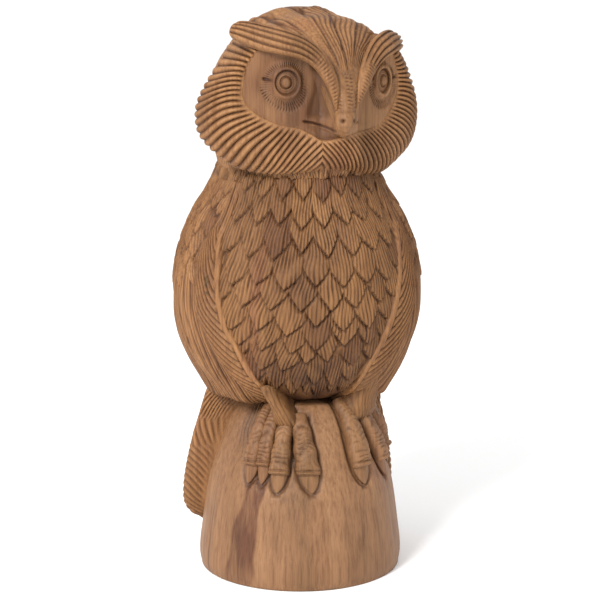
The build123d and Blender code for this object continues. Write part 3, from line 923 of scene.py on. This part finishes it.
def make_cheeks():
    """The smooth cheeks, with the sockets, the lashes, the mouth and the hollow beside the bill."""
    edge = curve(CHEEK_EDGE, 400)
    x = linspace(-45.8, 41.0, 330)
    low = np.full(x.shape, 400.0)
    for a, b in zip(edge[:-1], edge[1:]):
        lo, hi = min(a[0], b[0]), max(a[0], b[0])
        hit = (x >= lo - 0.15) & (x <= hi + 0.15)
        low[hit] = minimum(low[hit], min(a[1], b[1]))
    low = where(low > 399, where(x < 0, 261, 264), low)
    corner = interp(x, [-45.8, -45.3, -43.6, -39, -33.5, -28, 30, 34.5, 37.5, 40, 40.3, 41],
                    [267, 269.5, 278.5, 287, 293.5, 300, 300, 289.5, 280.5, 273.5, 266, 264.5])
    top = minimum(296 - 0.0035 * x ** 2, corner)
    t = linspace(0, 1, 150)[:, None]
    z = (low - 2.0) * (1 - t) + top * t
    x = np.broadcast_to(x, z.shape)
    y = cheek_y(x, z)
    high, painted_shade = np.zeros(z.shape), np.zeros(z.shape)
    for side in EYES:
        more, eye_shade = eye_terms(x, z, side)
        high, painted_shade = high + more, maximum(painted_shade, eye_shade)
    gape_z = interp(x, [-17.5, -12, -8, -5, -1], [249.9, 248.9, 247.5, 246.2, 244.0])
    gape = bump(z, gape_z, 0.62) * fall(x, -3, 0) * ramp(x, -18.5, -15.5)
    gape_l = bump(z, interp(x, [3, 8, 14], [245, 247.5, 248.8]), 0.6) * ramp(x, 4, 6) * fall(x, 11, 15)
    jaw = ramp(gape_z - z, 0.6, 2.0) * fall(x, 2, 6) * ramp(x, -16, -9)
    side_plane = fall(x, -6, 0) * ramp(x - hollow_edge(z), 0.3, 4.0) * ramp(z, 249, 254) * fall(z, 276, 286)
    # painted shade in the cuts of the mouth, on the jaw under it, on the side plane in the hollow beside the
    # bill, and high up under the brows
    for shade in (gape, 0.7 * gape_l, 0.42 * jaw, 0.60 * side_plane, 0.4 * ramp(z, 286, 291)):
        painted_shade = maximum(painted_shade, shade)
    high -= 1.8 * gape + 0.9 * gape_l + 1.4 * jaw + 0.5 * ramp(low - z, -3.0, -0.5)
    high += 0.35 * wobble(x, z, 72, 16)
    tone = 0.14 + 0.80 * ramp(x, -4, 14) + 0.16 * wobble(x, z * 0.6, 74, 16)
    outer = together(x, y - high, z)
    keep = some(8, 150)
    inner = together(x[keep], maximum(y[keep] + 9, -30), z[keep])
    make_piece("face_disc", "wood_face", add_shell, outer, inner, carving(painted_shade, tone), turn=HEAD_TURN)


def make_eye(side):
    """An eyeball with a raised pupil and two rings, as a disc with a short stem into its socket."""
    ex, ez = EYES[side]
    rim = EYE_HOLE - 0.2
    r = np.concatenate([linspace(0.15, rim, 60), np.full(6, rim)])[:, None]
    turn = linspace(0, 2 * math.pi, 72, endpoint=False)
    ball = 3.2 * sqrt(unit(1 - (r / 8.2) ** 2)) - 2.6
    ball = ball + 1.1 * sqrt(unit(1 - (r / 2.6) ** 2))
    groove = 0.75 * bump(r, 3.1, 0.45) + 0.18 * bump(r, 4.6, 0.35)
    high = ball - groove
    high[60:] = high[59:60] - linspace(0.5, 4.5, 6)[:, None]
    lx, lz = r * cos(turn) * EYE_WIDE[side], r * sin(turn)
    tilt = math.radians(EYE_TILT[side])
    front_y = float(cheek_y(np.array(ex), np.array(ez)))
    x = ex + lx * math.cos(tilt) + high * math.sin(tilt)
    y = front_y + lx * math.sin(tilt) - high * math.cos(tilt) + 0.4
    grid = together(x, y, ez + lz)
    # painted shade under the lid, low in the socket, in the rings' grooves and on the stem down in the socket
    lid_shade = bump(r, 6.3, 1.3) * (0.5 + 0.5 * sin(turn + 0.35))
    low_shade = 0.6 * bump(r, 6.1, 0.9) * unit(-sin(turn))
    painted_shade = groove * 1.1 + lid_shade + low_shade
    painted_shade[60:] = 0.95
    tone = (0.28 if side == "right" else 0.66) + 0.08 * bump(r, 0, 2)
    make_piece(f"eye_{side}", "wood_face", add_tube, grid, carving(painted_shade, tone), turn=HEAD_TURN)


def make_bill():
    """The forehead ridge, its tick marks, the nostril bulb and the beak."""
    z = linspace(241.4, 284, 170)[:, None]
    q = linspace(-1, 1, 130)
    middle = interp(z, [240, 249, 258, 276, 296], [2.1, 1.9, 3.0, 4.0, 4.0])
    half = interp(z, [241.4, 243, 246, 250, 253.5, 257, 262, 270, 277, 285],
                  [0.8, 2.6, 4.7, 5.9, 5.8, 5.3, 6.0, 9.0, 13.0, 18])
    front = interp(z, [241.4, 243, 245, 248, 251.5, 255, 259, 266, 274, 282, 284],
                   [-53.5, -56, -58.2, -60, -60.3, -58.6, -57.6, -55.2, -51.2, -45.2, -43.0])
    x = middle + half * q
    wall = interp(z, [240, 246, 252, 262, 275, 285], [3.5, 5.5, 6.5, 6.0, 5.0, 4.0])
    lobe = interp(z, [240, 256, 262, 280, 296], [2.0, 2.2, 2.6, 3.0, 2.4])
    y = front + wall * (1 - (1 - abs(q) ** lobe) ** 0.5)
    grid = together(x, y, z)
    side_mm = q * half
    lines = crown_flow(x, y, z)[2] * ramp(z, 268, 278)
    ticks = np.zeros(grid.shape[:2])
    for at, slant in ((-0.86, 0.35), (0.02, 0.0), (0.26, 0.0), (0.82, -0.4)):
        row = vee((z + slant * side_mm) / 1.85 + at, 1.8) * bump(side_mm, at * half, 1.15)
        ticks = maximum(ticks, row * ramp(z, 255.5, 257.5) * fall(z, 271, 277))
    nostril = sum(bump(hypot(side_mm - s * 3.6, z - 250.6), 0, 1.15) for s in (-1, 1))
    fold = bump(z, 255.2, 0.7) * (abs(q) < 0.95)
    high = -0.6 * lines - 0.7 * ticks - 1.8 * nostril - 0.35 * fold
    keep = some(8, 170)
    inner = together(x[keep], maximum(y[keep] + 8, -42), z[keep])
    # painted shade in the strands, the ticks, the nostrils and the fold
    painted_shade = 0.7 * lines + 0.9 * ticks + nostril + 0.3 * fold
    values = carving(painted_shade, 0.55 + 0.08 * wobble(side_mm, z * 0.5, 82, 20))
    make_piece("bill", "wood_face", add_shell, carved(grid, high), inner, values, turn=HEAD_TURN)


# The path of each brow from its tip to the bridge, and its half width along the way
BROWS = {"right": ([(-47.5, -23, 296), (-44.8, -29, 295.4), (-37.5, -38.5, 292.7), (-27.5, -45.5, 290.2),
                    (-19, -49, 287), (-11.8, -51.5, 281.4), (-7.2, -53.2, 274.2), (-4.3, -54.6, 266),
                    (-2.6, -53.5, 256)],
                   [4.4, 6.3, 7.0, 6.8, 6.0, 5.0, 4.0, 2.8, 0.7]),
         "left": ([(46.5, -18, 287.8), (44.2, -24, 288.2), (39.3, -30.5, 288.4), (33.0, -36.5, 287.4),
                   (26.5, -41.5, 285), (20.5, -46, 280), (16.0, -49.4, 274), (12.4, -52.2, 267),
                   (8.4, -53, 256)],
                  [4.2, 6.0, 6.6, 6.4, 5.7, 4.8, 3.8, 2.6, 0.7])}


def make_brow(side):
    """A horn-like brow: a flattened tube of strands, with notches where it runs down to the bridge."""
    points, widths = BROWS[side]
    path = curve(points, 230)
    at = linspace(0, 1, 230)[:, None]
    half = curve([(i * 10.0, w) for i, w in enumerate(widths)], 230)[:, 1:]
    along = direction(np.gradient(path, axis=0))
    out = path - np.array([0, 10.0, 258.0])
    out = direction(out - (out * along).sum(1, keepdims=True) * along)
    over = np.cross(along, out)
    over *= np.sign(over[:, 2:3])
    turn = linspace(0, 2 * math.pi, 120, endpoint=False)
    c, s = cos(turn), sin(turn)
    tip = quarter(at / 0.055, 0.02)
    thick = interp(at, [0, 0.1, 0.5, 0.8, 1], [3.4, 4.2, 4.2, 3.0, 0.9])
    across = half * c * tip
    strands = vee(c * 2.25 + 0.5 + 0.16 * wobble(at * 60, c * 6, 91, 20), 1.3) * (1 - ramp(at, 0.58, 0.70))
    face = ramp(s, -0.05, 0.35)
    lift = thick * tip * where(s > 0, unit(s) ** 0.75, 1.25 * s) * (1 - 0.35 * ramp(c, 0.1, 1))
    notches = vee(at * 42 + 0.3 * c, 1.6) * bump(c, -0.15, 0.6)
    notches = notches * ramp(at, 0.60, 0.68) * fall(at, 0.93, 0.99) * face
    lift = lift - 1.5 * strands * face * ramp(at, 0.012, 0.05) - 0.7 * notches
    grid = path[:, None] + over[:, None] * across[..., None] + out[:, None] * lift[..., None]
    # painted shade in the strands and the notches and on the brow's underside, and the strands darkened in
    # the tone too
    painted_shade = 0.95 * strands * face + 0.8 * notches + 0.6 * fall(s, -0.4, 0) * (c < 0.3)
    tone = (0.56 if side == "right" else 0.68) - 0.26 * strands + 0.10 * wobble(at * 80, c * 5, 92, 20)
    make_piece(f"brow_{side}", "wood_head", add_tube, grid, carving(painted_shade, tone), turn=HEAD_TURN)


def crown_flow(x, y, z):
    """Where a point lies across the strands that fan out of the bridge, its climb in degrees, their cuts."""
    climb = np.degrees(np.arctan2(z - 258, -(y - HEAD_Y)))
    climb = where(climb < -60, climb + 360, climb)
    centre = interp(climb, [10, 20, 32, 90], [3.5, 2, 0, -3])
    half = interp(climb, [6, 10, 20, 27, 32, 40, 50, 70, 90, 180],
                  [8, 9.5, 15, 21.5, 27.5, 37, 47, 58, 62, 60])
    lateral = (x - centre) / half
    drift = 0.035 * wobble(lateral * 18, climb * 0.5, 101, 13)
    lane = bump(lateral, -0.17, 0.10)
    fine = vee((lateral + drift) * 17.5, 1.1) * (1 - 0.85 * lane)
    return lateral, climb, fine


HEAD_MM = 50


def make_head():
    """The skull and crown, with flowing strands from the forehead over the crown and down the back."""
    columns = radians(linspace(-180, 180, 760, endpoint=False))
    outline = curve(HEAD_R[::8], 210)
    flank = interp(outline[:, 1], [219, 226, 232, 240, 250, 262, 274, 285, 294, 300],
                   [0.5, 3, 5, 5, 4, 4, 4.5, 5, 2.5, 0])[:, None] * sin(columns) ** 2
    grid = round_body(columns, outline[:, :1] - flank, outline[:, 1:2], HEAD_Y)
    lateral, climb, fine = crown_flow(grid[..., 0], grid[..., 1], grid[..., 2])
    bulge = 6.3 * ramp(1.3 - abs(lateral), 0, 0.5) * fall(climb, 50, 76) * ramp(climb, 6, 15)
    grid = carved(grid, bulge, True)
    x, y, z = np.moveaxis(grid, -1, 0)

    # plain upright strands take over where the ears would be, and a smooth lane runs up the forehead
    ear = 1 - ramp(hypot(y - HEAD_Y - 6, z - 252), 26, 36)
    front = fall(climb, 95, 112)
    lane = bump(lateral, -0.17, 0.10) * front
    down = vee(columns * HEAD_MM / 2.5 + 0.5 * wobble(columns * HEAD_MM, z * 0.5, 106, 20), 1.1)
    fine = fine * (1 - ear) + down * ear
    bold = vee((lateral + 0.04 * wobble(lateral * 14, climb * 0.4, 104, 14)) * 3.6 + 0.35, 4.0)
    bold = bold * (1 - lane) * (1 - ear)
    mass = 0.9 * wobble(lateral * 16, climb * 0.3, 102, 12) * (1 - ear)
    border = (bump(lateral, -0.30, 0.022) + bump(lateral, -0.055, 0.022)) * front
    border = border * (0.4 + 0.6 * vee(climb / 1.9, 0.8))
    rib = bump(lateral, -0.345, 0.03) * front
    nicks = vee(climb / 2.1 + 6 * abs(lateral + 0.17), 1.6) * lane * 0.5
    crest = (bump(x, -13.5, 6.5) + bump(x, 6.5, 9.5)) * bump(climb, 78, 12) * 1.9
    parting = bump(x + 0.12 * (climb - 78), -4.2, 1.3) * bump(climb, 76, 12)
    arch = bump(hypot((x - 2.5) / 1.1, (climb - 66) / 2.4), 6.0, 0.9) * ramp(climb, 66, 74)
    slot_cut = bump(lateral, 0.17, 0.02) * bump(climb, 31, 1.7)
    high = -0.6 * fine - 0.8 * bold + mass + crest - 1.8 * parting - 0.7 * border + rib - 0.5
    high = (high - 0.5 * nicks - 0.9 * arch - 1.4 * slot_cut) * fall(z, 304.8, 305.9)
    # painted shade in the strands, the parting, the borders, the nicks, the arch and the slot, and the fine
    # strands darkened in the tone too
    painted_shade = 0.85 * fine + 0.9 * bold + 0.8 * parting + 0.8 * border + 0.5 * nicks + 0.7 * arch + slot_cut
    tone = 0.80 + 0.35 * ramp(x, 2, 20) * fall(climb, 80, 100) - 0.24 * fine
    tone = tone + 0.14 * wobble(lateral * 16, climb * 0.15, 103, 10) * (1 - ear) - 0.10 * lane + 0.15 * rib
    out = carved(grid, high, True)
    x, y, z = np.moveaxis(out, -1, 0)
    z[:] = minimum(z, 306.4)

    # the front of the skull stays behind the cheeks
    behind = cheek_y(clip(x, -60, 60), z) + 3.5
    face = ramp(brow_line(x) + 2 - z, 0, 3) * (y < HEAD_Y)
    y += clip(behind - y, 0, None) * face * fall(abs(x), 37, 41)
    make_piece("head", "wood_head", add_turned, out, carving(painted_shade, tone), turn=HEAD_TURN)


# ---- build

make_torso()
make_post()
make_tail()
for side in ("right", "left"):
    make_wing(side)
    make_feet(side)
    make_leg(side)
make_head()
make_ruff()
make_cheeks()
make_bill()
for side in ("right", "left"):
    make_eye(side)
    make_brow(side)


# ---- stage, light and camera

scene = bpy.context.scene
white = bpy.data.materials.new("floor_white")
white.use_nodes = True
white_shader = white.node_tree.nodes["Principled BSDF"]
white_shader.inputs["Base Color"].default_value = (0.99, 0.99, 0.99, 1)
white_shader.inputs["Roughness"].default_value = 0.9
bpy.ops.mesh.primitive_plane_add(size=8, location=(0, 0, -0.0004))
floor = bpy.context.object
floor.name = "floor"
floor.data.materials.append(white)

scene.world = bpy.data.worlds.new("studio")
scene.world.use_nodes = True
background = scene.world.node_tree.nodes["Background"]
background.inputs["Color"].default_value = (1.0, 1.0, 1.0, 1)
background.inputs["Strength"].default_value = 1.04

LAMP_PLACE, LAMP_TARGET = np.array([-1.35, -1.25, 1.35]), np.array([0, 0, 0.16])
lamp_data = bpy.data.lights.new("key", "AREA")
lamp_data.size = 0.6
lamp_data.energy = 54
lamp = bpy.data.objects.new("key", lamp_data)
scene.collection.objects.link(lamp)
lamp.location = LAMP_PLACE
way = LAMP_TARGET - LAMP_PLACE
lamp.rotation_euler = (math.acos(-way[2] / np.linalg.norm(way)), 0, math.atan2(way[1], way[0]) - math.pi / 2)

# The camera stands a little to the owl's right, looks down slightly, and sees 36 mm film
VIEW_ANGLE, VIEW_PITCH = math.radians(17), 11.18
VIEW_DISTANCE, VIEW_HEIGHT = 1.0, 0.345
camera_data = bpy.data.cameras.new("camera")
camera_data.lens = 111.9
camera_data.sensor_width = 36
camera = bpy.data.objects.new("camera", camera_data)
scene.collection.objects.link(camera)
camera.location = (-math.sin(VIEW_ANGLE) * VIEW_DISTANCE, -math.cos(VIEW_ANGLE) * VIEW_DISTANCE, VIEW_HEIGHT)
camera.rotation_euler = (math.radians(90 - VIEW_PITCH), 0, -VIEW_ANGLE)
scene.camera = camera
scene.view_settings.view_transform = "Standard"
